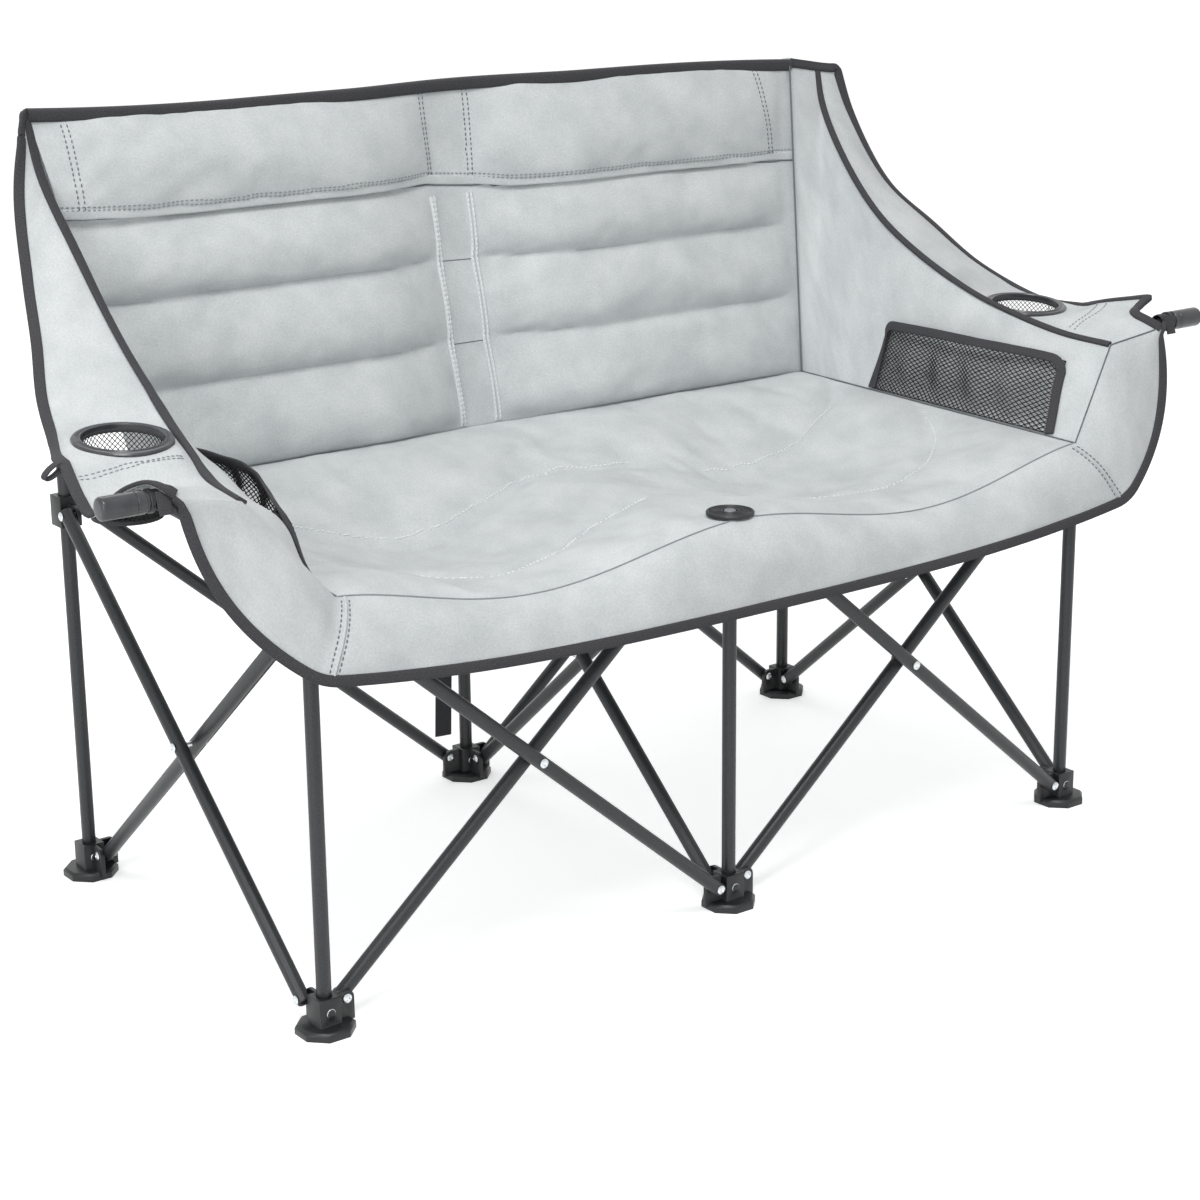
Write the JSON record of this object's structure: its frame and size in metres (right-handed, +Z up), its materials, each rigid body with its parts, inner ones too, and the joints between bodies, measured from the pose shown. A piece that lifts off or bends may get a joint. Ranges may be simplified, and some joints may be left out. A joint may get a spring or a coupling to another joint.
{
  "type": "folding camping loveseat",
  "caption": "Folding camping loveseat: upright posts joined by crossed bars, with sewn seat, back, side wings, apron, cup holders and pockets.",
  "frame": {"origin": "on the floor under the middle of the whole object", "axes": "+X to the sitter's left, which is the viewer's right from the front, +Y to the back, +Z up"},
  "size_m": [1.5126, 0.6434, 0.9],
  "materials": {
    "black_steel": "black powder coat, semi-gloss",
    "black_plastic": "moulded black nylon, satin",
    "zinc": "bright zinc plate",
    "grey_cloth": "light grey coated polyester, fine plain weave",
    "black_mesh": "black polyester net",
    "webbing": "dark grey polyester webbing"
  },
  "bodies": {
    "root": {"rear_post_middle": "black_steel", "rear_foot_middle": "black_plastic", "rear_post_cap_middle": "black_plastic", "back_panel": "grey_cloth", "rear_strap": "webbing"},
    "rear_left_rising": {"rear_left_bar_rising": "black_steel", "rear_left_centre_rivet": "zinc"},
    "rear_left_falling": {"rear_left_bar_falling": "black_steel"},
    "rear_left_post": {"rear_post_left": "black_steel", "rear_foot_left": "black_plastic", "rear_post_cap_left": "black_plastic", "wing_left": "grey_cloth", "side_pocket_left": "black_mesh"},
    "rear_left_hub": {"rear_hub_left": "black_plastic"},
    "rear_middle_hub": {"rear_hub_middle": "black_plastic"},
    "rear_right_rising": {"rear_right_bar_rising": "black_steel", "rear_right_centre_rivet": "zinc"},
    "rear_right_falling": {"rear_right_bar_falling": "black_steel"},
    "rear_right_post": {"rear_post_right": "black_steel", "rear_foot_right": "black_plastic", "rear_post_cap_right": "black_plastic", "wing_right": "grey_cloth", "side_pocket_right": "black_mesh"},
    "rear_right_hub": {"rear_hub_right": "black_plastic"},
    "middle_rising": {"middle_bar_rising": "black_steel", "middle_centre_rivet": "zinc"},
    "middle_falling": {"middle_bar_falling": "black_steel"},
    "front_middle_post": {"front_post_middle": "black_steel", "front_foot_middle": "black_plastic"},
    "front_middle_hub": {"front_hub_middle": "black_plastic", "front_slide_tube_middle": "black_steel", "seat_disc": "black_plastic"},
    "front_left_arm": {"arm_bar_left": "black_steel", "arm_cap_left": "black_plastic", "front_left_centre_rivet": "zinc"},
    "front_left_falling": {"front_left_bar_falling": "black_steel"},
    "front_left_post": {"front_post_left": "black_steel", "front_foot_left": "black_plastic"},
    "front_left_hub": {"front_hub_left": "black_plastic", "front_slide_tube_left": "black_steel"},
    "front_right_arm": {"arm_bar_right": "black_steel", "arm_cap_right": "black_plastic", "front_right_centre_rivet": "zinc"},
    "front_right_falling": {"front_right_bar_falling": "black_steel"},
    "front_right_post": {"front_post_right": "black_steel", "front_foot_right": "black_plastic"},
    "front_right_hub": {"front_hub_right": "black_plastic", "front_slide_tube_right": "black_steel"},
    "left_side_rising": {"left_side_bar_rising": "black_steel", "left_side_centre_rivet": "zinc"},
    "left_side_falling": {"left_side_bar_falling": "black_steel"},
    "right_side_rising": {"right_side_bar_rising": "black_steel", "right_side_centre_rivet": "zinc"},
    "right_side_falling": {"right_side_bar_falling": "black_steel"},
    "seat_cover": {"seat": "grey_cloth", "apron": "grey_cloth"},
    "cup_left": {"cup_ring_left": "black_plastic", "cup_net_left": "black_mesh"},
    "cup_right": {"cup_ring_right": "black_plastic", "cup_net_right": "black_mesh"}
  },
  "joints": [
    {"name": "fold", "type": "hinge", "parent": "root", "child": "rear_left_rising", "pos_m": [-0.026, 0.29175, 0.03], "axis": [0, 1, 0], "range_deg": [0, 47], "deforming": ["back_panel", "seat", "apron", "wing_left", "wing_right", "side_pocket_left", "side_pocket_right"]},
    {"name": "rear_left_cross", "type": "hinge", "parent": "rear_left_rising", "child": "rear_left_falling", "pos_m": [-0.27, 0.29175, 0.239], "axis": [0, 1, 0], "range_deg": [-94, 0]},
    {"name": "rear_left_post_pivot", "type": "hinge", "parent": "rear_left_falling", "child": "rear_left_post", "pos_m": [-0.514, 0.29175, 0.03], "axis": [0, 1, 0], "range_deg": [0, 47]},
    {"name": "rear_left_hub_pivot", "type": "hinge", "parent": "rear_left_rising", "child": "rear_left_hub", "pos_m": [-0.514, 0.29175, 0.448], "axis": [0, 1, 0], "range_deg": [-47, 0]},
    {"name": "rear_middle_hub_pivot", "type": "hinge", "parent": "rear_left_falling", "child": "rear_middle_hub", "pos_m": [-0.026, 0.29175, 0.448], "axis": [0, 1, 0], "range_deg": [0, 47]},
    {"name": "rear_right_rising_pivot", "type": "hinge", "parent": "root", "child": "rear_right_rising", "pos_m": [0.026, 0.29175, 0.03], "axis": [0, -1, 0], "range_deg": [0, 47]},
    {"name": "rear_right_cross", "type": "hinge", "parent": "rear_right_rising", "child": "rear_right_falling", "pos_m": [0.27, 0.29175, 0.239], "axis": [0, -1, 0], "range_deg": [-94, 0]},
    {"name": "rear_right_post_pivot", "type": "hinge", "parent": "rear_right_falling", "child": "rear_right_post", "pos_m": [0.514, 0.29175, 0.03], "axis": [0, -1, 0], "range_deg": [0, 47]},
    {"name": "rear_right_hub_pivot", "type": "hinge", "parent": "rear_right_rising", "child": "rear_right_hub", "pos_m": [0.514, 0.29175, 0.448], "axis": [0, -1, 0], "range_deg": [-47, 0]},
    {"name": "middle_rising_pivot", "type": "hinge", "parent": "root", "child": "middle_rising", "pos_m": [0, 0.26575, 0.03], "axis": [-1, 0, 0], "range_deg": [0, 47]},
    {"name": "middle_cross", "type": "hinge", "parent": "middle_rising", "child": "middle_falling", "pos_m": [0, 0.02175, 0.239], "axis": [-1, 0, 0], "range_deg": [-94, 0]},
    {"name": "middle_post_pivot", "type": "hinge", "parent": "middle_falling", "child": "front_middle_post", "pos_m": [0, -0.22225, 0.03], "axis": [-1, 0, 0], "range_deg": [0, 47]},
    {"name": "middle_hub_pivot", "type": "hinge", "parent": "middle_rising", "child": "front_middle_hub", "pos_m": [0, -0.22225, 0.448], "axis": [-1, 0, 0], "range_deg": [-47, 0]},
    {"name": "front_left_arm_pivot", "type": "hinge", "parent": "front_middle_post", "child": "front_left_arm", "pos_m": [-0.026, -0.24825, 0.03], "axis": [0, 1, 0], "range_deg": [0, 47]},
    {"name": "front_left_cross", "type": "hinge", "parent": "front_left_arm", "child": "front_left_falling", "pos_m": [-0.27, -0.24825, 0.239], "axis": [0, 1, 0], "range_deg": [-94, 0]},
    {"name": "front_left_post_pivot", "type": "hinge", "parent": "front_left_falling", "child": "front_left_post", "pos_m": [-0.514, -0.24825, 0.03], "axis": [0, 1, 0], "range_deg": [0, 47]},
    {"name": "front_left_hub_pivot", "type": "hinge", "parent": "front_left_arm", "child": "front_left_hub", "pos_m": [-0.514, -0.24825, 0.448], "axis": [0, 1, 0], "range_deg": [-47, 0]},
    {"name": "front_right_arm_pivot", "type": "hinge", "parent": "front_middle_post", "child": "front_right_arm", "pos_m": [0.026, -0.24825, 0.03], "axis": [0, -1, 0], "range_deg": [0, 47]},
    {"name": "front_right_cross", "type": "hinge", "parent": "front_right_arm", "child": "front_right_falling", "pos_m": [0.27, -0.24825, 0.239], "axis": [0, -1, 0], "range_deg": [-94, 0]},
    {"name": "front_right_post_pivot", "type": "hinge", "parent": "front_right_falling", "child": "front_right_post", "pos_m": [0.514, -0.24825, 0.03], "axis": [0, -1, 0], "range_deg": [0, 47]},
    {"name": "front_right_hub_pivot", "type": "hinge", "parent": "front_right_arm", "child": "front_right_hub", "pos_m": [0.514, -0.24825, 0.448], "axis": [0, -1, 0], "range_deg": [-47, 0]},
    {"name": "left_side_rising_pivot", "type": "hinge", "parent": "rear_left_post", "child": "left_side_rising", "pos_m": [-0.54, 0.26575, 0.03], "axis": [-1, 0, 0], "range_deg": [0, 47]},
    {"name": "left_side_cross", "type": "hinge", "parent": "left_side_rising", "child": "left_side_falling", "pos_m": [-0.54, 0.02175, 0.239], "axis": [-1, 0, 0], "range_deg": [-94, 0]},
    {"name": "right_side_rising_pivot", "type": "hinge", "parent": "rear_right_post", "child": "right_side_rising", "pos_m": [0.54, 0.26575, 0.03], "axis": [-1, 0, 0], "range_deg": [0, 47]},
    {"name": "right_side_cross", "type": "hinge", "parent": "right_side_rising", "child": "right_side_falling", "pos_m": [0.54, 0.02175, 0.239], "axis": [-1, 0, 0], "range_deg": [-94, 0]},
    {"name": "seat_lift", "type": "hinge", "parent": "root", "child": "seat_cover", "pos_m": [0, 0.19975, 0.487], "axis": [-1, 0, 0], "range_deg": [0, 80]},
    {"name": "cup_left_gather", "type": "slide", "parent": "rear_left_post", "child": "cup_left", "axis": [0, 1, 0], "range_m": [0, 0.24]},
    {"name": "cup_right_gather", "type": "slide", "parent": "rear_right_post", "child": "cup_right", "axis": [0, 1, 0], "range_m": [0, 0.24]}
  ],
  "couplings": [
    {"joint": "rear_left_cross", "follows": "fold", "ratio": -2},
    {"joint": "rear_left_post_pivot", "follows": "fold", "ratio": 1},
    {"joint": "rear_left_hub_pivot", "follows": "fold", "ratio": -1},
    {"joint": "rear_middle_hub_pivot", "follows": "fold", "ratio": 1},
    {"joint": "rear_right_rising_pivot", "follows": "fold", "ratio": 1},
    {"joint": "rear_right_cross", "follows": "fold", "ratio": -2},
    {"joint": "rear_right_post_pivot", "follows": "fold", "ratio": 1},
    {"joint": "rear_right_hub_pivot", "follows": "fold", "ratio": -1},
    {"joint": "middle_rising_pivot", "follows": "fold", "ratio": 1},
    {"joint": "middle_cross", "follows": "fold", "ratio": -2},
    {"joint": "middle_post_pivot", "follows": "fold", "ratio": 1},
    {"joint": "middle_hub_pivot", "follows": "fold", "ratio": -1},
    {"joint": "front_left_arm_pivot", "follows": "fold", "ratio": 1},
    {"joint": "front_left_cross", "follows": "fold", "ratio": -2},
    {"joint": "front_left_post_pivot", "follows": "fold", "ratio": 1},
    {"joint": "front_left_hub_pivot", "follows": "fold", "ratio": -1},
    {"joint": "front_right_arm_pivot", "follows": "fold", "ratio": 1},
    {"joint": "front_right_cross", "follows": "fold", "ratio": -2},
    {"joint": "front_right_post_pivot", "follows": "fold", "ratio": 1},
    {"joint": "front_right_hub_pivot", "follows": "fold", "ratio": -1},
    {"joint": "left_side_rising_pivot", "follows": "fold", "ratio": 1},
    {"joint": "left_side_cross", "follows": "fold", "ratio": -2},
    {"joint": "right_side_rising_pivot", "follows": "fold", "ratio": 1},
    {"joint": "right_side_cross", "follows": "fold", "ratio": -2},
    {"joint": "seat_lift", "follows": "fold", "ratio": 1.7021},
    {"joint": "cup_left_gather", "follows": "fold", "m_per_rad": 0.29257},
    {"joint": "cup_right_gather", "follows": "fold", "m_per_rad": 0.29257}
  ]
}
